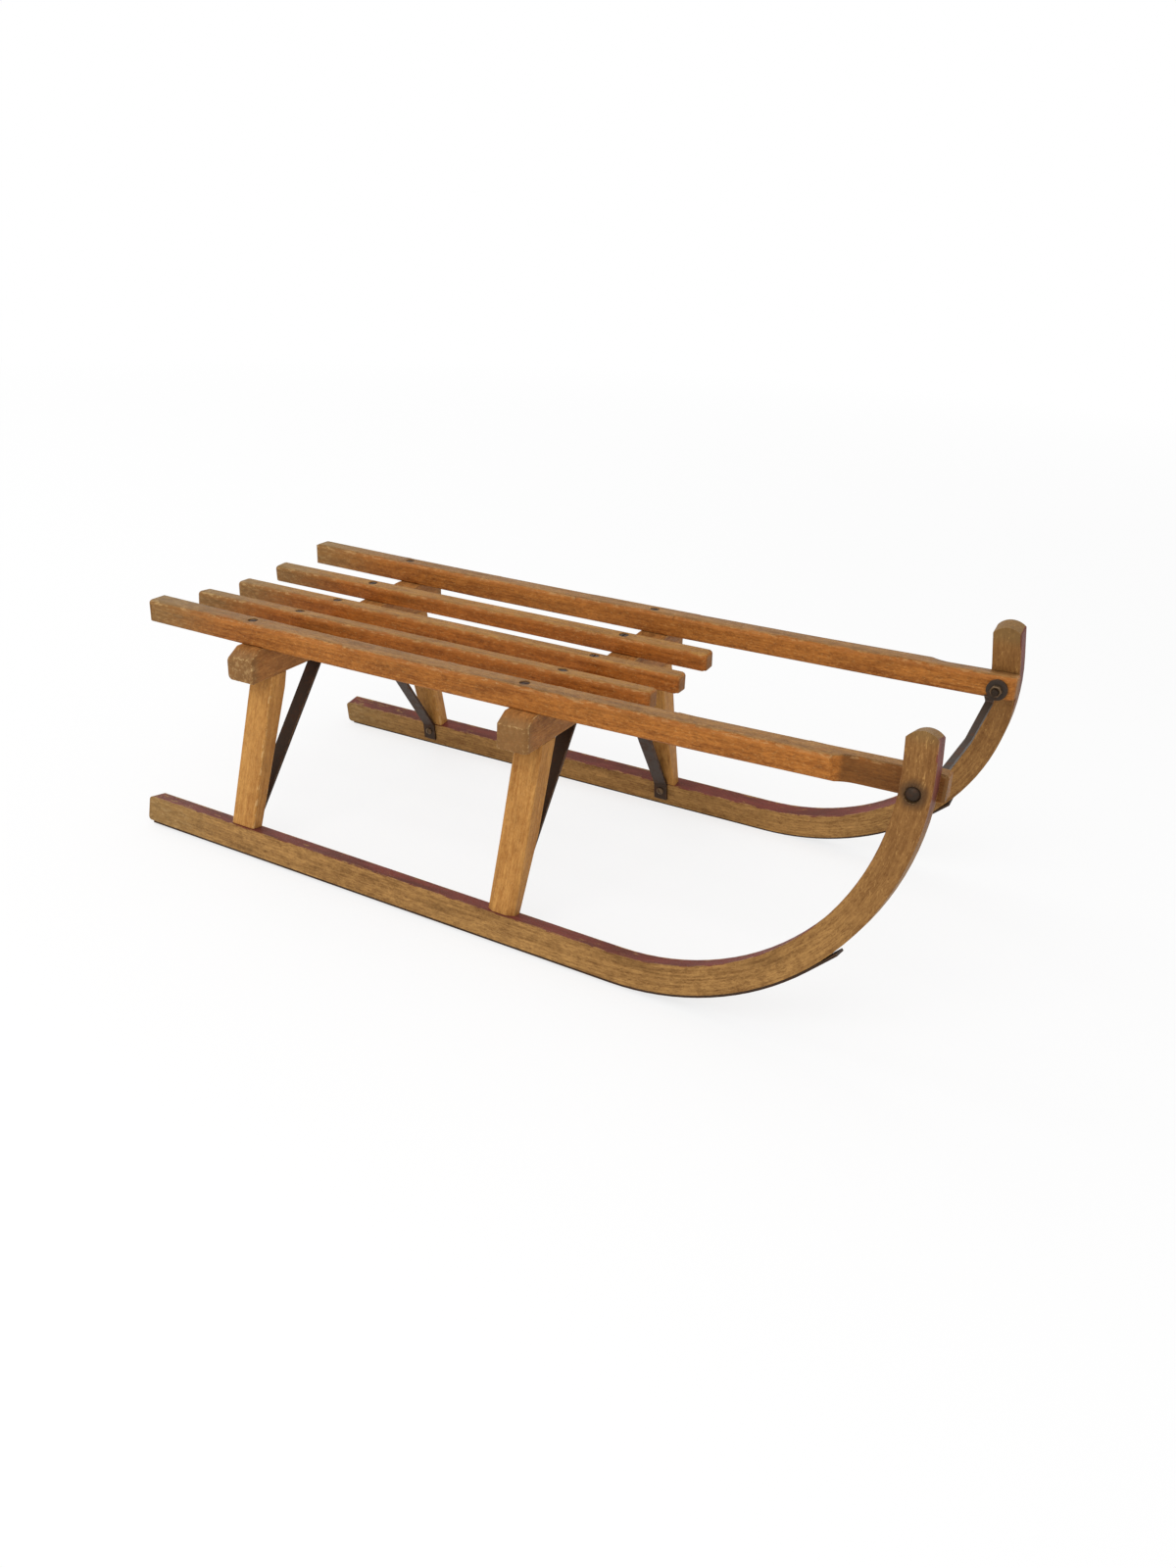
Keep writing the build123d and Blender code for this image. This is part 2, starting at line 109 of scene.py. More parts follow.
TIP_FADE = 0.6 * MM
HALO_REACH = 15.0 * MM              # dark halo round a bolt, fading out at this radius
HALO_CORE = 5.5 * MM                # and darkest within this one
RAGGED_HALO = 8.0 * MM
PAINT_MARGIN = 0.9 * MM             # the paint ends this far round the runner's edges
PAINT_FADE = 0.5 * MM
RAGGED_PAINT = 1.2 * MM
PAINT_LOW = 40.0 * MM               # the horn's front is painted from this far below the bolt
PAINT_FULL = 5.0 * MM               # and fully from this far above it
PAINT_MIDDLE = 6.0 * MM             # it wears off from here to the runner's sides,
PAINT_SIDE = 9.0 * MM               # both counted from the middle of its thickness
WOOD_RELIEF = 0.16 * MM
STEEL_RELIEF = 0.15 * MM

# ---------------------------------------------------------------- fasteners
TURN = 40                           # sides of a round head
DOME_STEPS = 7
SEAT_SCREW_RADIUS = 5.0 * MM
SEAT_SCREW_RIM = 1.6 * MM
SEAT_SCREW_DOME = 0.5 * MM
STAY_SCREW_RADIUS = 4.2 * MM
STAY_SCREW_RIM = 0.6 * MM
STAY_SCREW_DOME = 1.9 * MM
SLOT_WIDTH = 1.3 * MM
SLOT_DEPTH = 1.0 * MM
SHANK_RADIUS = 3.0 * MM
TIP_SHARE = 0.75                    # of the shank's radius, at the bolt's tip
THREAD_LENGTH = 14.0 * MM
THREAD_PITCH = 1.0 * MM
THREAD_DEPTH = 0.35 * MM
THREAD_ROOT = 0.35                  # places of a turn's root and crest, in turns
THREAD_CREST = 0.9
HEAD_SHARE = 0.9                    # of the bolts' room that their worn heads fill
HEAD_HEIGHT = 4.2 * MM
HEAD_ROUND = 0.85                   # share of the height taken by the dome's arc
NUT_POINTS = 24                     # round the nut's outline
NUT_SHOULDER = 0.78                 # share of the nut's height where its corners slope in
NUT_CROWN = 0.87                    # and the share of its radius left at the top
EYE_RADIUS = 9.8 * MM
IRON_WIDTH = 10.0 * MM
BAR_NARROWING = 0.4                 # share of its width that the pull iron's bar loses

# ---------------------------------------------------------------- random draws
rng = np.random.default_rng(7)
SEEDS = 50.0                        # a wooden or forged piece's seed lies below this
SCREW_SEED = 1.0
BOLT_SEED = 2.0

# ---------------------------------------------------------------- studio
FLOOR_SIZE = 30.0
FLOOR_PALE = (0.9, 0.9, 0.9, 1.0)
FLOOR_WHITE = 0.75                  # share of the floor that the camera sees as plain white
FLOOR_NEAR = 1.0                    # up to this far from the middle
FLOOR_FAR = 3.5                     # and from here all of it
WHITE = (1.0, 1.0, 1.0, 1.0)
WORLD_LIGHT = 0.75
LIGHTS_AIM = Vector((0.0, 0.0, 0.1))
LENS = 31.26                        # mm, on a 36 mm sensor
SENSOR = 36.0
CAMERA_PLACE = Vector((0.6024, -1.0984, 0.6681))
CAMERA_FORWARD = Vector((-0.41875, 0.80323, -0.42364)).normalized()
CAMERA_RIGHT = Vector((0.87613, 0.48005, 0.04418)).normalized()


def srgb(red, green, blue):
    """Linear colour from 0-255 screen values."""
    def linear(value):
        value /= 255.0
        return value / 12.92 if value <= 0.04045 else ((value + 0.055) / 1.055) ** 2.4
    return (linear(red), linear(green), linear(blue), 1.0)


# ---------------------------------------------------------------- colours
RAIL_COLOURS = {"side": srgb(188, 120, 54), "side_deep": srgb(118, 64, 22),
                "top": srgb(168, 124, 74), "top_deep": srgb(110, 76, 42)}
SLAT_COLOURS = {"side": srgb(176, 104, 42), "side_deep": srgb(112, 58, 16),
                "top": srgb(176, 128, 66), "top_deep": srgb(120, 80, 38)}
ARRIS = srgb(164, 100, 44)
LEG_LIGHT = srgb(204, 150, 82)
LEG_DEEP = srgb(154, 100, 46)
BEARER_LIGHT = srgb(180, 122, 66)
BEARER_DEEP = srgb(114, 72, 34)
RUNNER_LIGHT = srgb(190, 144, 84)
RUNNER_DEEP = srgb(114, 78, 40)
HORN_BROWN = srgb(116, 74, 36)
END_GRAIN = srgb(126, 92, 54)
OLIVE = srgb(122, 98, 60)
FLECK = srgb(84, 46, 18)
# dark brown: real stains in the wood, and painted shade in the rails' recess at the horn
DIRT_AND_SHADE = srgb(80, 52, 26)
# pale: painted glints on the varnish of the wood, and real scratches on the horns
PALE_SCRATCH_AND_GLINT = srgb(206, 160, 96)
# pale bare wood: real wear, and painted highlight on the bevelled edges and arrises
WORN_WOOD_AND_HIGHLIGHT = srgb(214, 178, 122)
PAINT = srgb(122, 62, 52)
PAINT_DULL = srgb(98, 52, 42)
STEEL = srgb(58, 42, 30)
STEEL_LIGHT = srgb(58, 48, 40)
RUST = srgb(98, 60, 36)
BROWN_EDGE = srgb(116, 84, 58)
BRIGHT_EDGE = srgb(142, 130, 116)
OLD_HEAD = srgb(56, 45, 36)
OLD_NUT = srgb(108, 88, 66)


# ================================================================ shader helpers
class Finish:
    """A material and short names for the nodes that the finishes share."""

    def __init__(self, name):
        self.material = bpy.data.materials.new(name)
        self.material.use_nodes = True
        self.tree = self.material.node_tree
        self.tree.nodes.clear()
        self.grain = self.attribute("grain", "Vector")
        self.seed = self.attribute("seed", "Fac")
        self.edge = self.attribute("edge", "Fac")
        self.place = self.node("TexCoord", {}).outputs["Object"]

    def node(self, kind, inputs, **settings):
        made = self.tree.nodes.new("ShaderNode" + kind)
        for key, value in settings.items():
            setattr(made, key, value)
        for key, value in inputs.items():
            if isinstance(value, bpy.types.NodeSocket):
                self.tree.links.new(value, made.inputs[key])
            else:
                made.inputs[key].default_value = value
        return made

    def attribute(self, name, output):
        return self.node("Attribute", {}, attribute_name=name).outputs[output]

    def math(self, operation, first, second=0.0, clamp=False):
        return self.node("Math", {0: first, 1: second}, operation=operation, use_clamp=clamp).outputs[0]

    def step(self, value, low, high):
        """0 below low and 1 above high, smooth between them; low may be the higher."""
        flip = low > high
        made = self.node("MapRange", {
            "Value": value, "From Min": min(low, high), "From Max": max(low, high),
            "To Min": 1.0 if flip else 0.0, "To Max": 0.0 if flip else 1.0,
        }, interpolation_type="SMOOTHSTEP")
        return made.outputs[0]

    def mix(self, factor, first, second):
        return self.node("Mix", {0: factor, 6: first, 7: second}, data_type="RGBA").outputs[2]

    def split(self, vector):
        return self.node("SeparateXYZ", {0: vector}).outputs

    def ragged(self, along, across, amount):
        """A border's wavering, in metres either way."""
        return self.math("MULTIPLY", self.math("SUBTRACT", self.grained(along, across, 4.0), 0.5), amount)

    def noise(self, vector, stretch, detail=3.0, roughness=0.55, distortion=0.0):
        """Noise, in cycles a metre along each axis."""
        scaled = self.node("VectorMath", {0: vector, 1: stretch}, operation="MULTIPLY").outputs[0]
        return self.node("TexNoise", {
            "Vector": scaled, "W": self.seed, "Scale": 1.0, "Detail": detail,
            "Roughness": roughness, "Distortion": distortion,
        }, noise_dimensions="4D").outputs[0]

    def grained(self, along, across, detail=3.0, roughness=0.55, distortion=0.0):
        return self.noise(self.grain, (along, across, across), detail, roughness, distortion)

    def distance(self, point, axes):
        """Distance in metres from a place, along some axes only."""
        offset = self.node("VectorMath", {0: self.place, 1: point}, operation="SUBTRACT").outputs[0]
        kept = self.node("VectorMath", {0: offset, 1: axes}, operation="MULTIPLY").outputs[0]
        return self.node("VectorMath", {0: kept}, operation="LENGTH").outputs["Value"]

    def done(self, colour, roughness, height, relief, specular, metallic=0.0):
        bump = self.node("Bump", {"Strength": 1.0, "Distance": relief, "Height": height}).outputs[0]
        shader = self.node("BsdfPrincipled", {
            "Base Color": colour, "Roughness": roughness, "Metallic": metallic,
            "Specular IOR Level": specular, "Normal": bump,
        })
        output = self.node("OutputMaterial", {})
        self.tree.links.new(shader.outputs[0], output.inputs["Surface"])
        return self.material


# ================================================================ wood
def wood_colour(f, light, deep, flecks, dirt):
    """Streaks, mottling and dark flecks along the grain, painted glints of light on the varnish, and broad
    stains. Gives the colour and its relief.
    """
    figure = f.step(f.grained(4.0, 55.0, 3.0, 0.6, 0.6), 0.34, 0.66)
    streaks = f.step(f.grained(16.0, 480.0, 4.0, 0.7), 0.38, 0.62)
    mottle = f.step(f.grained(90.0, 180.0, 5.0, 0.8), 0.38, 0.62)
    tone = f.math("ADD", f.math("MULTIPLY", figure, 0.3), f.math("MULTIPLY", streaks, 0.35))
    tone = f.math("ADD", tone, f.math("MULTIPLY", mottle, 0.35))
    colour = f.mix(tone, light, deep)
    # painted glints: tiny pale spots along the grain stand for sparkles of light on the varnish
    pale = f.step(f.grained(300.0, 600.0, 3.0, 0.8), 0.53, 0.66)
    colour = f.mix(f.math("MULTIPLY", pale, 0.28), colour, PALE_SCRATCH_AND_GLINT)
    specks = f.step(f.grained(200.0, 900.0, 3.0, 0.8), 0.51, 0.64)
    colour = f.mix(f.math("MULTIPLY", specks, flecks), colour, FLECK)
    stain = f.step(f.grained(14.0, 60.0, 4.0, 0.7), 0.5, 0.74)
    colour = f.mix(f.math("MULTIPLY", stain, dirt), colour, DIRT_AND_SHADE)
    height = f.math("ADD", f.math("MULTIPLY", streaks, -0.6), f.math("MULTIPLY", specks, -0.4))
    return colour, height


def scuffed_and_highlit(f, colour, where, strength):
    """Pale chips and rubbed patches where the varnish has gone; on the bevelled edges and along the arris
    they are partly a painted highlight.
    """
    chips = f.step(f.grained(120.0, 300.0, 5.0, 0.8), 0.5, 0.58)
    amount = f.math("MULTIPLY", f.math("MULTIPLY", chips, where), strength, clamp=True)
    return f.mix(amount, colour, WORN_WOOD_AND_HIGHLIGHT)


def varnished(f, colour, height):
    """Worn varnish, duller in patches."""
    roughness = f.math("ADD", f.math("MULTIPLY", f.grained(30.0, 120.0), 0.25), 0.38)
    return f.done(colour, roughness, height, WOOD_RELIEF, specular=0.1)


def seat_finish(name, half, colours):
    """Seat bar: duller upper face, orange rounded arrises with a pale line that is worn wood and partly a
    painted highlight, flecked sides, and a recess at the horn darkened by dirt and painted shade.
    """
    f = Finish(name)
    along, _, up = f.split(f.grain)
    side, height = wood_colour(f, colours["side"], colours["side_deep"], 0.5, 0.35)
    top, _ = wood_colour(f, colours["top"], colours["top_deep"], 0.4, 0.35)
    level = f.math("ADD", up, f.ragged(60.0, 160.0, RAGGED_SEAT))
    arris = f.math("MULTIPLY", f.step(level, half[2] - ARRIS_BAND, half[2] - ARRIS_BAND + ARRIS_FADE), 0.5)
    colour = f.mix(arris, side, ARRIS)
    colour = f.mix(f.step(level, half[2] - TOP_EDGE, half[2] - TOP_EDGE + SOFT_BORDER), colour, top)
    rear = f.step(along, SEAT_REAR_FADE - half[0], -half[0])
    colour = f.mix(f.math("MULTIPLY", rear, 0.65), colour, OLIVE)
    # the recess at the horn is darkened: dirt, and partly painted shade
    place = f.split(f.place)
    recess_dirt_and_shade = f.math("MULTIPLY", f.step(place[0], RECESS_REAR, RECESS_REAR + RECESS_FADE),
                    f.step(f.math("ABSOLUTE", place[1]), RECESS_FLOOR - RECESS_EDGE, RECESS_FLOOR))
    colour = f.mix(f.math("MULTIPLY", recess_dirt_and_shade, 0.65), colour, DIRT_AND_SHADE)
    tips = f.step(f.math("ABSOLUTE", along), half[0] - TIP_DEPTH, half[0] - TIP_DEPTH + TIP_FADE)
    colour = f.mix(f.math("MULTIPLY", tips, 0.6), colour, END_GRAIN)
    # pale line along the upper arris: worn wood, and partly a painted highlight
    line = f.math("MULTIPLY", f.step(up, half[2] - RUB_AND_HIGHLIGHT_LINE, half[2] - RUB_AND_HIGHLIGHT_LINE + SOFT_BORDER),
                  f.step(up, half[2] - RUB_AND_HIGHLIGHT_TOP, half[2] - RUB_AND_HIGHLIGHT_TOP - RUB_AND_HIGHLIGHT_FADE))
    rubbed = f.math("ADD", f.math("MULTIPLY", rear, 0.22), f.math("MULTIPLY", line, 0.28), clamp=True)
    # the bevelled edges are paled: worn wood, and partly a painted highlight
    rubbed = f.math("ADD", rubbed, f.math("MULTIPLY", f.edge, 0.65), clamp=True)
    colour = scuffed_and_highlit(f, colour, rubbed, 0.85)
    return varnished(f, colour, height)


def leg_finish():
    """Leg: paler wood, paled along its edges as worn wood and partly as a painted highlight."""
    f = Finish("leg_wood")
    colour, height = wood_colour(f, LEG_LIGHT, LEG_DEEP, 0.25, 0.3)
    # the bevelled edges are paled: worn wood, and partly a painted highlight
    colour = scuffed_and_highlit(f, colour, f.edge, 0.5)
    return varnished(f, colour, height)


def bearer_finish(half):
    """Cross bearer: grey-brown ends, scuffed at the rear bearer."""
    f = Finish("bearer_wood")
    along = f.split(f.grain)[0]
    colour, height = wood_colour(f, BEARER_LIGHT, BEARER_DEEP, 0.3, 0.25)
    end = f.step(f.math("ABSOLUTE", along), half[0] - BEARER_END, half[0] - BEARER_END + BEARER_FADE)
    colour = f.mix(f.math("MULTIPLY", end, 0.75), colour, END_GRAIN)
    rear = f.step(f.split(f.place)[0], 0.0, REAR_BEARER)
    scuffs = f.math("MULTIPLY", end, f.math("ADD", f.math("MULTIPLY", rear, 0.3), 0.1))
    # the bevelled edges are paled: worn wood, and partly a painted highlight
    rubbed = f.math("ADD", scuffs, f.math("MULTIPLY", f.edge, 0.6), clamp=True)
    colour = scuffed_and_highlit(f, colour, rubbed, 0.7)
    return varnished(f, colour, height)


def runner_finish(name, bolt):
    """Runner: streaked sides, and red paint on the upper face and the horn's front."""
    f = Finish(name)
    along, rise, depth = f.split(f.grain)
    colour, height = wood_colour(f, RUNNER_LIGHT, RUNNER_DEEP, 0.5, 0.4)
    altitude = f.split(f.place)[2]
    rear_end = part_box("runner_right")[0].x
    rear = f.step(along, rear_end + RUNNER_REAR_FADE, rear_end)
    colour = f.mix(f.math("MULTIPLY", rear, 0.5), colour, OLIVE)
    horn = f.step(along, BEND_START + 0.5 * LOWER_BEND, BEND_START + 1.5 * LOWER_BEND)
    colour = f.mix(f.math("MULTIPLY", horn, 0.6), colour, HORN_BROWN)
    crown = f.step(altitude, HORN_TOP - CROWN_FADE, HORN_TOP)
    colour = f.mix(f.math("MULTIPLY", crown, 0.55), colour, OLIVE)
    scratches = f.step(f.noise(f.place, (900.0, 900.0, 35.0), 2.0, 0.6, 0.8), 0.6, 0.66)
    colour = f.mix(f.math("MULTIPLY", f.math("MULTIPLY", scratches, horn), 0.4), colour, PALE_SCRATCH_AND_GLINT)
    ring = f.math("ADD", f.distance(bolt, (1.0, 0.0, 1.0)), f.ragged(90.0, 120.0, RAGGED_HALO))
    halo = f.step(ring, HALO_REACH, HALO_CORE)
    colour = f.mix(f.math("MULTIPLY", halo, 0.85), colour, STEEL)
    # the rear end is rubbed pale, and the bevelled edges are paled: worn wood, and partly a painted
    # highlight
    colour = scuffed_and_highlit(f, colour, f.math("ADD", f.math("MULTIPLY", rear, 0.4), f.edge, clamp=True), 0.6)

    ragged = f.ragged(90.0, 300.0, RAGGED_PAINT)
    upper_edge = RUNNER_TOP - PAINT_MARGIN
    lower_edge = STRIP_THICKNESS + PAINT_MARGIN
    inner = f.step(f.math("ADD", rise, ragged), upper_edge, upper_edge + PAINT_FADE)
    outer = f.step(f.math("SUBTRACT", rise, ragged), lower_edge, lower_edge - PAINT_FADE)
    front = f.step(altitude, bolt[2] - PAINT_LOW, bolt[2] + PAINT_FULL)
    painted = f.math("MAXIMUM", inner, f.math("MULTIPLY", outer, front))
    middle = f.math("ABSOLUTE", f.math("SUBTRACT", depth, RUNNER_THICKNESS / 2))
    worn = f.math("ADD", f.step(middle, PAINT_MIDDLE, PAINT_SIDE), f.math("MULTIPLY", rear, 0.45))
    flaking = f.math("ADD", f.grained(70.0, 220.0, 5.0, 0.75), f.math("MULTIPLY", worn, 0.16))
    missing = f.step(flaking, 0.6, 0.66)
    kept = f.math("MULTIPLY", painted, f.math("SUBTRACT", 1.0, f.math("MULTIPLY", missing, 0.85)))
    paint = f.mix(f.step(f.grained(20.0, 90.0, 4.0), 0.35, 0.65), PAINT, PAINT_DULL)
    colour = f.mix(kept, colour, paint)
    return varnished(f, colour, height)


# ================================================================ steel
def steel_finish(name, body, rust, edge_light, metallic=0.35, rim=BROWN_EDGE):
    """Dark forged steel, blotched with rust and rubbed bright along its edges."""
    f = Finish(name)
    blotch = f.step(f.noise(f.place, (110.0,) * 3, 5.0, 0.7), 0.48, 0.68)
    colour = f.mix(f.math("MULTIPLY", blotch, rust), body, RUST)
    pits = f.noise(f.place, (900.0,) * 3, 3.0, 0.6)
    colour = f.mix(f.math("MULTIPLY", f.step(pits, 0.5, 0.7), 0.35), colour, STEEL)
    rubbed = f.math("MULTIPLY", f.step(f.noise(f.place, (160.0,) * 3, 3.0), 0.4, 0.6), f.edge)
    colour = f.mix(f.math("MULTIPLY", rubbed, edge_light), colour, rim)
    roughness = f.math("ADD", f.math("MULTIPLY", blotch, 0.25), 0.45)
    return f.done(colour, roughness, pits, STEEL_RELIEF, specular=0.2, metallic=metallic)


# ================================================================ meshes
def middle_of(node):
    low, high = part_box(node)
    return (low + high) / 2


def half_size(grain):
    return (grain.max(0) - grain.min(0)) / 2


def worn_mesh(node, kind):
    """Copy of a CAD node with its sharp edges rounded, which the face attribute "edge" marks."""
    bm = bmesh.new()
    bm.from_mesh(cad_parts[node].data)
    bmesh.ops.remove_doubles(bm, verts=bm.verts, dist=WELD)
    bmesh.ops.dissolve_limit(bm, angle_limit=FLAT_ANGLE, verts=bm.verts, edges=bm.edges)
    sharp = [e for e in bm.edges if len(e.link_faces) == 2 and e.calc_face_angle() > SHARP_ANGLE]
    long_axis = max(bm.edges, key=lambda e: e.calc_length())
    long_axis = (long_axis.verts[1].co - long_axis.verts[0].co).normalized()
    top = max((face for face in bm.faces if face.normal.z > 0.5), key=lambda face: face.calc_area())
    top_normal = top.normal.copy()
    edge = bm.faces.layers.float.new("edge")
    made = bmesh.ops.bevel(
        bm, geom=sharp, offset=WEAR[kind] * MM, offset_type="OFFSET", segments=WEAR_STEPS, profile=0.5,
        affect="EDGES", clamp_overlap=True)
    for face in made["faces"]:
        face[edge] = 1.0
    bmesh.ops.triangulate(bm, faces=bm.faces)
    for face in bm.faces:
        face.smooth = True
    mesh = bpy.data.meshes.new(node + "_worn")
    bm.to_mesh(mesh)
    bm.free()
    return mesh, long_axis, top_normal


def ease_ends(mesh, grain_of, forward, up):
    """Rounds both ends of a bar over into its upper and lower faces."""
    bm = bmesh.new()
    bm.from_mesh(mesh)
    half = half_size(grain_of(vertices_of(mesh)))
    reach = vertices_of(mesh) @ np.array(forward)
    for end, inwards in ((reach.min(), 1.0), (reach.max(), -1.0)):
        for share in EASE_CUTS:
            place = end + inwards * share * EASE_TOP
            bmesh.ops.bisect_plane(bm, geom=bm.verts[:] + bm.edges[:] + bm.faces[:], dist=WELD / 4,
                                   plane_co=forward * place, plane_no=forward)
    grain = grain_of(np.array([v.co for v in bm.verts]))
    for vert, (along, across, height) in zip(bm.verts, grain):
        beside = abs(across) - half[1]
        corner = np.array((abs(along) - half[0], beside)) + BAR_CORNER
        inset = BAR_CORNER - (np.hypot(*corner) if corner.min() > 0 else corner[0])
        radius = EASE_TOP if height > 0 else EASE_UNDER
        if corner[0] < 0 or inset >= radius:
            continue
        drop = radius - math.sqrt(radius ** 2 - (radius - max(inset, 0.0)) ** 2)
        if height > 0:
            side = min(max(beside + BAR_ARRIS, 0.0), BAR_ARRIS)
            drop = max(drop, BAR_ARRIS - math.sqrt(BAR_ARRIS ** 2 - side ** 2))
        if abs(height) > half[2] - drop:
            vert.co += up * (math.copysign(half[2] - drop, height) - height)
    bmesh.ops.dissolve_degenerate(bm, dist=WELD, edges=bm.edges)
    bmesh.ops.triangulate(bm, faces=bm.faces)
    bm.to_mesh(mesh)
    bm.free()


def vertices_of(mesh):
    points = np.empty(len(mesh.vertices) * 3)
    mesh.vertices.foreach_get("co", points)
    return points.reshape(-1, 3)


def straight_grain(points, long_axis, across_hint):
    """Coordinates along a straight piece, across it and up it, from its middle."""
    forward = Vector(long_axis)
    if forward.dot(Vector((1.0, 1.0, 1.0))) < 0:
        forward.negate()
    across = Vector(across_hint).cross(forward).normalized()
    up = forward.cross(across)
    grain = points @ np.array([forward, across, up]).T
    return grain - (grain.max(0) + grain.min(0)) / 2


def bowed_grain(points):
    """The same for a rail, its upward curve taken out."""
    rise = RAIL_BOW - np.sqrt(RAIL_BOW ** 2 - (points[:, 0] - RAIL_LOW) ** 2)
    up = points[:, 2] - points[:, 0] * math.tan(PITCH) - rise
    grain = np.stack([points[:, 0], points[:, 1], up], axis=1)
    return grain - (grain.max(0) + grain.min(0)) / 2


def bent_grain(points, right):
    """Coordinates along a runner's underside, up from it and in from the outer face."""
    x_axis = np.array([math.cos(TOE), math.sin(TOE), 0.0])
    inwards = np.array([math.sin(TOE) * math.cos(LEAN), -math.cos(TOE) * math.cos(LEAN), -math.sin(LEAN)])
    mirrored = points * (1.0, -1.0 if right else 1.0, 1.0) - (0.0, HALF_TRACK, SOLE_LIFT)
    ahead = mirrored @ x_axis
    rise = mirrored @ np.cross(inwards, x_axis)
    along, height = ahead.copy(), rise.copy()

    lower = np.array([BEND_START, LOWER_BEND])
    upper = lower + np.array([math.sin(BEND_CHANGE), -math.cos(BEND_CHANGE)]) * (LOWER_BEND - UPPER_BEND)
    change = BEND_START + BEND_CHANGE * LOWER_BEND
    for centre, radius, start_angle, start in (
            (lower, LOWER_BEND, 0.0, BEND_START), (upper, UPPER_BEND, BEND_CHANGE, change)):
        angle = np.arctan2(ahead - centre[0], centre[1] - rise)
        reached = (angle > start_angle) & (ahead > BEND_START)
        turned = np.minimum(angle, BEND_END)
        along = np.where(reached, start + (turned - start_angle) * radius, along)
        height = np.where(reached, radius - np.hypot(ahead - centre[0], rise - centre[1]), height)

    out = np.array([math.sin(BEND_END), -math.cos(BEND_END)])
    onward = np.array([math.cos(BEND_END), math.sin(BEND_END)])
    offset = np.stack([ahead, rise], axis=1) - upper
    beyond = (offset @ onward > 0) & (ahead > BEND_START + LOWER_BEND / 2)
    end = change + (BEND_END - BEND_CHANGE) * UPPER_BEND
    along = np.where(beyond, end + offset @ onward, along)
    height = np.where(beyond, UPPER_BEND - offset @ out, height)
    return np.stack([along, height, mirrored @ inwards], axis=1)


def lay(mesh, grain, seed):
    """Store the grain's coordinates and the piece's own seed for the shaders."""
    mesh.attributes.new("grain", "FLOAT_VECTOR", "POINT").data.foreach_set("vector", grain.ravel())
    values = np.full(len(mesh.vertices), seed)
    mesh.attributes.new("seed", "FLOAT", "POINT").data.foreach_set("value", values)


def show(mesh, name, material, slot, *nodes):
    """One visible piece that stands for its CAD nodes."""
    piece = bpy.data.objects.new(name, mesh)
    bpy.context.scene.collection.objects.link(piece)
    mesh.materials.clear()
    mesh.materials.append(material)
    weighted = piece.modifiers.new("weighted", "WEIGHTED_NORMAL")
    weighted.weight = 100
    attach(piece, "root")
    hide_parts(*nodes)


# ================================================================ lathe work
def lathe(profile):
    """Solid of revolution round Z through (radius, height) points from the axis to the axis."""
    bm = bmesh.new()
    rings = []
    for radius, height in profile:
        if radius == 0.0:
            rings.append([bm.verts.new((0.0, 0.0, height))])
            continue
        angles = [2 * math.pi * i / TURN for i in range(TURN)]
        rings.append([bm.verts.new((radius * math.cos(a), radius * math.sin(a), height)) for a in angles])
    for low, high in zip(rings, rings[1:]):
        for i in range(TURN):
            j = i + 1
            corners = [low[i % len(low)], low[j % len(low)], high[j % len(high)], high[i % len(high)]]
            bm.faces.new(list(dict.fromkeys(corners)))
    bmesh.ops.recalc_face_normals(bm, faces=bm.faces)
    return bm


def quarter_turn():
    """Angles of a dome's arc between its rim and its top."""
    return [math.pi / 2 * i / DOME_STEPS for i in range(1, DOME_STEPS)]


def dome(radius, rim, rise):
    """Profile of a domed head: a short straight rim and a rounded top."""
    arc = [(radius * math.cos(a), rim + rise * math.sin(a)) for a in quarter_turn()]
    return [(0.0, 0.0), (radius, 0.0), (radius, rim)] + arc + [(0.0, rim + rise)]


def slotted_head(radius, rim, rise):
    """Domed screw head with its slot, as a mesh."""
    bm = lathe(dome(radius, rim, rise))
    head = bpy.data.meshes.new("head")
    bm.to_mesh(head)
    bm.free()
    tool = bmesh.new()
    bmesh.ops.create_cube(tool, size=1.0)
    size = Matrix.Diagonal((3 * radius, SLOT_WIDTH, 2 * SLOT_DEPTH, 1.0))
    bmesh.ops.transform(tool, matrix=Matrix.Translation((0.0, 0.0, rim + rise)) @ size, verts=tool.verts)
    cutter_mesh = bpy.data.meshes.new("cutter")
    tool.to_mesh(cutter_mesh)
    tool.free()
    blank = bpy.data.objects.new("blank", head)
    cutter = bpy.data.objects.new("cutter", cutter_mesh)
    for thing in (blank, cutter):
        bpy.context.scene.collection.objects.link(thing)
    slot = blank.modifiers.new("slot", "BOOLEAN")
    slot.object = cutter
    slot.operation = "DIFFERENCE"
    slot.solver = "EXACT"
    bpy.context.view_layer.update()
    slotted = bpy.data.meshes.new_from_object(blank.evaluated_get(bpy.context.evaluated_depsgraph_get()))
    for thing in (blank, cutter):
        bpy.data.objects.remove(thing)
    return slotted


def solids_of(node):
    """Vertices of each separate solid of a CAD node."""
    bm = bmesh.new()
    bm.from_mesh(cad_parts[node].data)
    bmesh.ops.remove_doubles(bm, verts=bm.verts, dist=WELD)
    left = set(bm.verts)
    groups = []
    while left:
        group, queue = set(), [next(v for v in bm.verts if v in left)]
        while queue:
            vert = queue.pop()
            if vert in group:
                continue
            group.add(vert)
            queue += [edge.other_vert(vert) for edge in vert.link_edges]
        left -= group
        groups.append(np.array([v.co for v in bm.verts if v in group]))
    bm.free()
    return groups


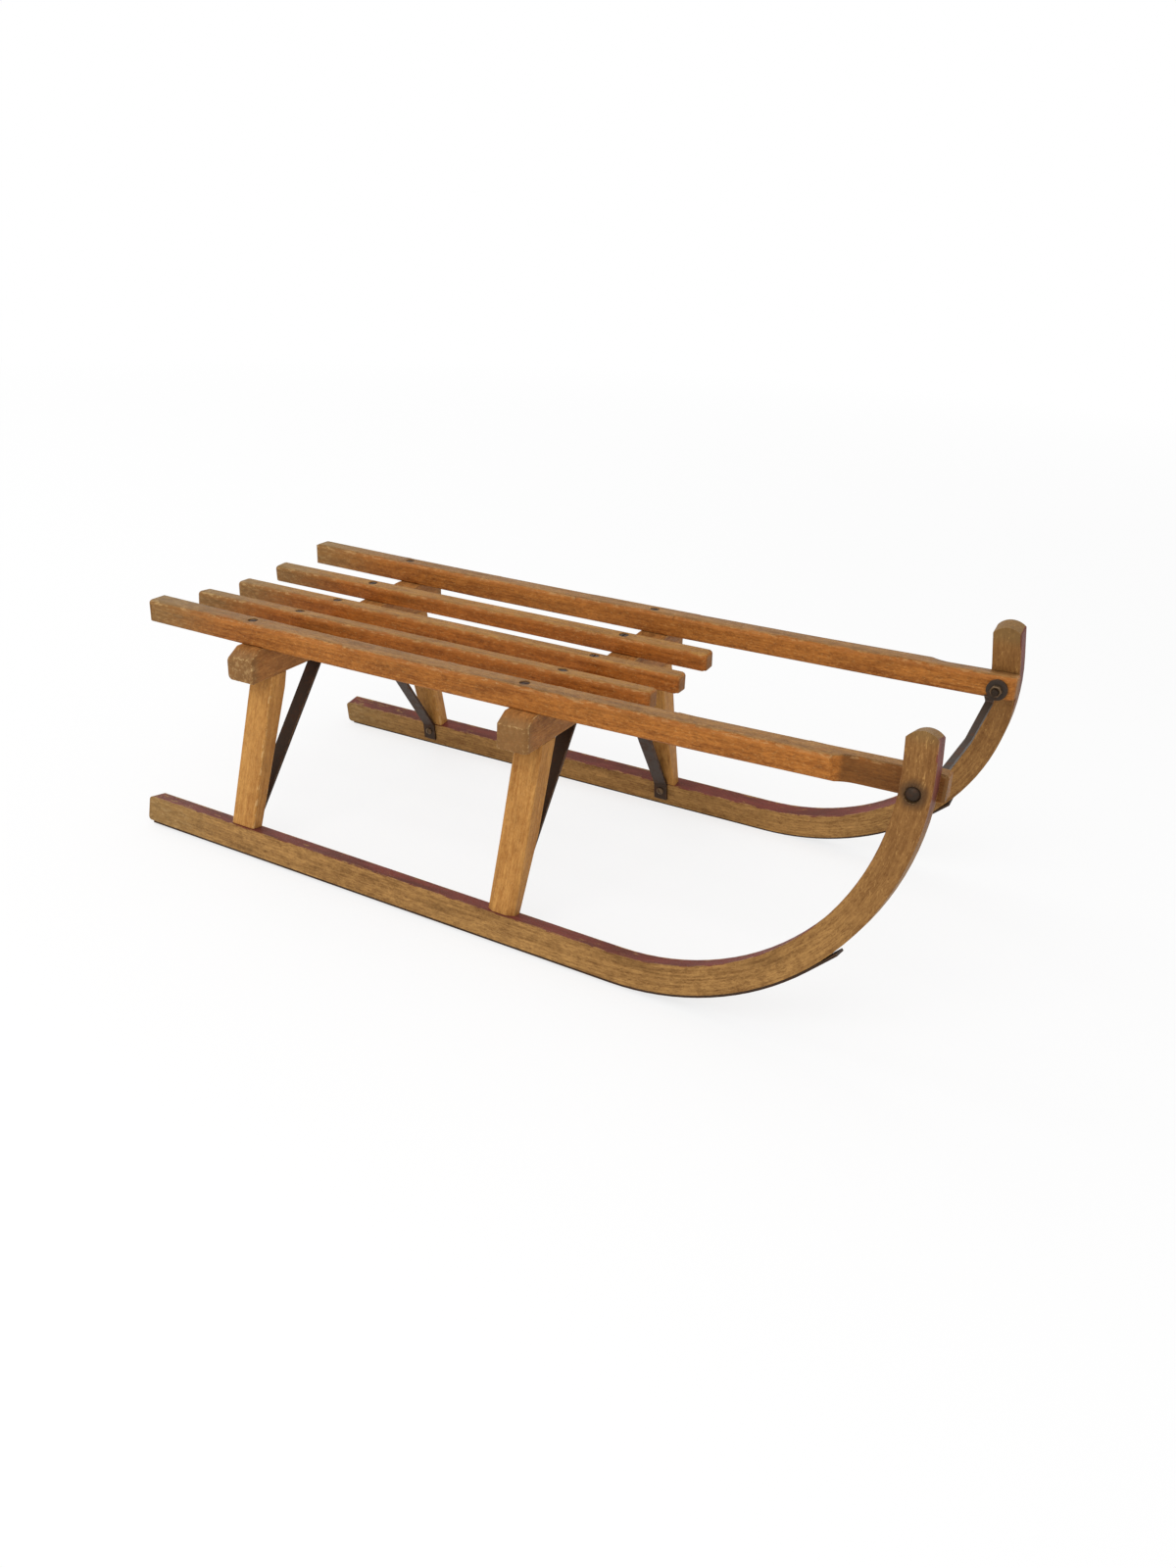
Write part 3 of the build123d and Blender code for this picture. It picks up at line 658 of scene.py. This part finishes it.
def head_place(points, upwards, turn):
    """Frame on a head's base, Z along its axis, turned round it."""
    middle = points.mean(0)
    _, axes = np.linalg.eigh(np.cov((points - middle).T))
    axis = Vector(axes[:, 0])
    if (axis.z > 0) != upwards:
        axis.negate()
    reach = (points - middle) @ np.array(axis)
    middle = Vector(middle)
    flat = [p - axis * p.dot(axis) for p in (Vector(q) for q in points)]
    centre = (Vector(map(min, zip(*flat))) + Vector(map(max, zip(*flat)))) / 2
    base = centre + axis * (middle.dot(axis) + reach.min())
    spin = axis.to_track_quat("Z", "Y").to_matrix().to_4x4() @ Matrix.Rotation(turn, 4, "Z")
    return Matrix.Translation(base) @ spin


def heads(node, head, upwards):
    """All the heads of a screw node as one mesh."""
    bm = bmesh.new()
    for points in solids_of(node):
        before = len(bm.verts)
        bm.from_mesh(head)
        bm.verts.ensure_lookup_table()
        place = head_place(points, upwards, rng.uniform(0.0, math.pi))
        bmesh.ops.transform(bm, matrix=place, verts=bm.verts[before:])
    for face in bm.faces:
        face.smooth = True
    mesh = bpy.data.meshes.new(node + "_heads")
    bm.to_mesh(mesh)
    bm.free()
    mesh.set_sharp_from_angle(angle=SHARP_ANGLE)
    return mesh


# ================================================================ the pieces
def straight_piece(node, kind, across_hint):
    """Worn copy of a straight piece with its grain laid along it, and its half sizes."""
    mesh, long_axis, _ = worn_mesh(node, kind)
    grain = straight_grain(vertices_of(mesh), long_axis, across_hint)
    lay(mesh, grain, rng.uniform(0.0, SEEDS))
    return mesh, half_size(grain)


def build_seat():
    forward = Vector((math.cos(PITCH), 0.0, math.sin(PITCH)))
    for kind, names, colours in (("rail", ("rail_left", "rail_right"), RAIL_COLOURS),
                                 ("slat", ("slat_left", "slat_middle", "slat_right"), SLAT_COLOURS)):
        material = None
        for node in names:
            mesh, _, top_normal = worn_mesh(node, kind)
            grain_of = bowed_grain if kind == "rail" else functools.partial(
                straight_grain, long_axis=forward, across_hint=top_normal)
            ease_ends(mesh, grain_of, forward, top_normal)
            grain = grain_of(vertices_of(mesh))
            lay(mesh, grain, rng.uniform(0.0, SEEDS))
            material = material or seat_finish(kind + "_wood", half_size(grain), colours)
            show(mesh, node + "_bar", material, "seat_wood", node)


def build_legs_and_bearers():
    legs = leg_finish()
    bearers = None
    for place in ("rear", "front"):
        mesh, half = straight_piece("bearer_" + place, "bearer", (0.0, 0.0, 1.0))
        bearers = bearers or bearer_finish(half)
        show(mesh, f"bearer_{place}_wood", bearers, "frame_wood", "bearer_" + place)
        for side in ("left", "right"):
            node = f"leg_{place}_{side}"
            mesh, _ = straight_piece(node, "leg", (1.0, 0.0, 0.0))
            show(mesh, node + "_wood", legs, "frame_wood", node)


def build_runners(steel):
    wood = runner_finish("runner_wood", middle_of("horn_bolt_left"))
    for side in ("left", "right"):
        for node, kind, material, slot in (
                (f"runner_{side}", "runner", wood, "runner_wood"),
                (f"runner_strip_{side}", "strip", steel, "dark_steel")):
            mesh, _, _ = worn_mesh(node, kind)
            lay(mesh, bent_grain(vertices_of(mesh), side == "right"), rng.uniform(0.0, SEEDS))
            show(mesh, node + "_shod" if kind == "strip" else node + "_bent", material, slot, node)


def build_ironwork(steel, iron):
    for place in ("rear", "front"):
        for side in ("left", "right"):
            node = f"stay_{place}_{side}"
            mesh, _ = straight_piece(node, "stay", (1.0, 0.0, 0.0))
            show(mesh, node + "_strap", steel, "dark_steel", node)
    mesh, _ = straight_piece("pull_iron", "iron", (0.0, 0.0, 1.0))
    narrow_bar(mesh)
    show(mesh, "pull_iron_bar", iron, "dark_steel", "pull_iron")


def narrow_bar(mesh):
    """Forges the pull iron's bar narrower than its eyes, from its rear edge."""
    points = vertices_of(mesh)
    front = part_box("pull_iron")[0].x + IRON_WIDTH
    eye_bottom = middle_of("horn_bolt_left").z - EYE_RADIUS
    below = np.clip((eye_bottom - points[:, 2]) / EYE_RADIUS + 0.5, 0.0, 1.0)
    points[:, 0] += below * BAR_NARROWING * np.clip(front - points[:, 0], 0.0, None)
    mesh.vertices.foreach_set("co", points.ravel())
    mesh.update()


def build_screws(seat_steel, stay_steel):
    seat_head = slotted_head(SEAT_SCREW_RADIUS, SEAT_SCREW_RIM, SEAT_SCREW_DOME)
    stay_head = slotted_head(STAY_SCREW_RADIUS, STAY_SCREW_RIM, STAY_SCREW_DOME)
    for node, head, upwards, steel in (("seat_screws", seat_head, True, seat_steel),
                                       ("stay_screws", stay_head, False, stay_steel)):
        mesh = heads(node, head, upwards)
        lay(mesh, vertices_of(mesh), SCREW_SEED)
        show(mesh, node + "_slotted", steel, "dark_steel", node)


def bolt_profile(length, radius):
    """Profile of a bolt standing on its tip: thread, plain shank and domed head."""
    profile = [(0.0, 0.0), (SHANK_RADIUS * TIP_SHARE, 0.0), (SHANK_RADIUS, 0.0)]
    for i in range(round(THREAD_LENGTH / THREAD_PITCH)):
        profile.append((SHANK_RADIUS - THREAD_DEPTH, (i + THREAD_ROOT) * THREAD_PITCH))
        profile.append((SHANK_RADIUS, (i + THREAD_CREST) * THREAD_PITCH))
    under = length - HEAD_HEIGHT
    profile += [(SHANK_RADIUS, under), (radius, under)]
    rise = HEAD_HEIGHT * HEAD_ROUND
    profile += [(radius * math.cos(a), under + rise * math.sin(a)) for a in quarter_turn()]
    return profile + [(0.0, length)]


def hexagon(corner, height):
    """Hexagon nut standing on z = 0, its top corners turned off."""
    bm = bmesh.new()
    rings = []
    for radius, level in (
            (corner, 0.0), (corner, height * NUT_SHOULDER), (corner * NUT_CROWN, height),
            (SHANK_RADIUS, height), (SHANK_RADIUS, 0.0)):
        ring = []
        for i in range(NUT_POINTS):
            angle = 2 * math.pi * i / NUT_POINTS
            flat = corner * math.cos(math.pi / 6) / math.cos((angle % (math.pi / 3)) - math.pi / 6)
            reach = min(radius, flat)
            ring.append(bm.verts.new((reach * math.cos(angle), reach * math.sin(angle), level)))
        rings.append(ring)
    for low, high in zip(rings, rings[1:] + rings[:1]):
        for i in range(NUT_POINTS):
            j = (i + 1) % NUT_POINTS
            bm.faces.new((low[i], low[j], high[j], high[i]))
    bmesh.ops.recalc_face_normals(bm, faces=bm.faces)
    return bm


def build_bolts(head_steel, nut_steel):
    """Horn bolts with their tips and nuts on the inner side."""
    for side, outwards in (("left", 1.0), ("right", -1.0)):
        middle = middle_of("horn_bolt_" + side)
        bolt_low, bolt_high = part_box("horn_bolt_" + side)
        length = bolt_high.y - bolt_low.y
        bm = lathe(bolt_profile(length, HEAD_SHARE * (bolt_high.x - bolt_low.x) / 2))
        place = Matrix.Translation((middle.x, middle.y - outwards * length / 2, middle.z))
        place = place @ Matrix.Rotation(-outwards * math.pi / 2, 4, "X")
        bmesh.ops.transform(bm, matrix=place, verts=bm.verts)
        finish_round(bm, f"horn_bolt_{side}", "domed", head_steel)

        nut_low, nut_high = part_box("horn_nut_" + side)
        bm = hexagon((nut_high.x - nut_low.x) / 2, nut_high.y - nut_low.y)
        place = Matrix.Translation((middle.x, nut_high.y if outwards > 0 else nut_low.y, middle.z))
        place = place @ Matrix.Rotation(outwards * math.pi / 2, 4, "X")
        bmesh.ops.transform(bm, matrix=place, verts=bm.verts)
        finish_round(bm, f"horn_nut_{side}", "hex", nut_steel)


def finish_round(bm, node, word, material):
    """Shows a turned or hexagonal piece, smooth but for its sharp edges."""
    for face in bm.faces:
        face.smooth = True
    mesh = bpy.data.meshes.new(node + "_turned")
    bm.to_mesh(mesh)
    bm.free()
    mesh.set_sharp_from_angle(angle=SHARP_ANGLE)
    lay(mesh, vertices_of(mesh), BOLT_SEED)
    show(mesh, f"{node}_{word}", material, "dark_steel", node)


# ================================================================ studio
def seen_directly(nodes, links):
    """1 for camera, glossy and transmission rays, else 0."""
    path = nodes.new("ShaderNodeLightPath")
    either = nodes.new("ShaderNodeMath")
    either.operation = "MAXIMUM"
    any_ray = nodes.new("ShaderNodeMath")
    any_ray.operation = "MAXIMUM"
    links.new(path.outputs["Is Camera Ray"], either.inputs[0])
    links.new(path.outputs["Is Glossy Ray"], either.inputs[1])
    links.new(either.outputs[0], any_ray.inputs[0])
    links.new(path.outputs["Is Transmission Ray"], any_ray.inputs[1])
    return any_ray.outputs[0]


def pale_floor():
    """Pale floor that the camera sees as nearly white, keeping the shadow."""
    bpy.ops.mesh.primitive_plane_add(size=FLOOR_SIZE)
    floor = bpy.context.object
    floor.name = "studio_floor"
    material = bpy.data.materials.new("floor")
    material.use_nodes = True
    nodes, links = material.node_tree.nodes, material.node_tree.links
    nodes.clear()
    pale = nodes.new("ShaderNodeBsdfDiffuse")
    pale.inputs["Color"].default_value = FLOOR_PALE
    white = nodes.new("ShaderNodeEmission")
    mixed = nodes.new("ShaderNodeMixShader")
    output = nodes.new("ShaderNodeOutputMaterial")
    place = nodes.new("ShaderNodeTexCoord")
    reach = nodes.new("ShaderNodeVectorMath")
    reach.operation = "LENGTH"
    share = nodes.new("ShaderNodeMapRange")
    for name, value in (("From Min", FLOOR_NEAR), ("From Max", FLOOR_FAR),
                        ("To Min", FLOOR_WHITE), ("To Max", 1.0)):
        share.inputs[name].default_value = value
    both = nodes.new("ShaderNodeMath")
    both.operation = "MULTIPLY"
    links.new(place.outputs["Object"], reach.inputs[0])
    links.new(reach.outputs["Value"], share.inputs["Value"])
    links.new(share.outputs[0], both.inputs[0])
    links.new(seen_directly(nodes, links), both.inputs[1])
    links.new(both.outputs[0], mixed.inputs[0])
    links.new(pale.outputs[0], mixed.inputs[1])
    links.new(white.outputs[0], mixed.inputs[2])
    links.new(mixed.outputs[0], output.inputs["Surface"])
    floor.data.materials.append(material)


def white_world():
    """Soft light from all round, and a white backdrop for the camera."""
    world = bpy.data.worlds.new("studio")
    bpy.context.scene.world = world
    world.use_nodes = True
    nodes, links = world.node_tree.nodes, world.node_tree.links
    nodes.clear()
    light = nodes.new("ShaderNodeBackground")
    light.inputs["Strength"].default_value = WORLD_LIGHT
    backdrop = nodes.new("ShaderNodeBackground")
    mixed = nodes.new("ShaderNodeMixShader")
    output = nodes.new("ShaderNodeOutputWorld")
    for background in (light, backdrop):
        background.inputs["Color"].default_value = WHITE
    links.new(seen_directly(nodes, links), mixed.inputs[0])
    links.new(light.outputs[0], mixed.inputs[1])
    links.new(backdrop.outputs[0], mixed.inputs[2])
    links.new(mixed.outputs[0], output.inputs["Surface"])


def soft_light(name, place, size, power):
    light = bpy.data.lights.new(name, "AREA")
    light.size = size
    light.energy = power
    lamp = bpy.data.objects.new(name, light)
    lamp.location = place
    lamp.rotation_euler = (LIGHTS_AIM - lamp.location).to_track_quat("-Z", "Y").to_euler()
    bpy.context.scene.collection.objects.link(lamp)


def camera():
    """Looks down and along the sled from ahead of its right side."""
    data = bpy.data.cameras.new("camera")
    data.sensor_width = SENSOR
    data.lens = LENS
    cam = bpy.data.objects.new("camera", data)
    bpy.context.scene.collection.objects.link(cam)
    up = CAMERA_RIGHT.cross(CAMERA_FORWARD)
    turn = Matrix((CAMERA_RIGHT, up, -CAMERA_FORWARD)).transposed().to_4x4()
    cam.matrix_world = Matrix.Translation(CAMERA_PLACE) @ turn
    bpy.context.scene.camera = cam


# ================================================================ building it
dark_steel = steel_finish("dark_steel", STEEL, 0.35, 0.8)
worn_iron = steel_finish("worn_iron", STEEL_LIGHT, 0.5, 0.4, metallic=0.0, rim=BRIGHT_EDGE)
screw_steel = steel_finish("screw_steel", STEEL, 0.5, 0.2)
head_steel = steel_finish("head_steel", OLD_HEAD, 0.4, 0.5, metallic=0.6, rim=BRIGHT_EDGE)
nut_steel = steel_finish("nut_steel", OLD_NUT, 0.5, 0.6, metallic=0.6, rim=BRIGHT_EDGE)
build_seat()
build_legs_and_bearers()
build_runners(dark_steel)
build_ironwork(dark_steel, worn_iron)
build_screws(screw_steel, nut_steel)
build_bolts(head_steel, nut_steel)
pale_floor()
white_world()
soft_light("key", (0.2, -2.4, 2.6), 2.5, 45.0)
soft_light("fill", (-2.2, 0.6, 2.4), 2.5, 20.0)
camera()
bpy.context.scene.view_settings.view_transform = "Standard"
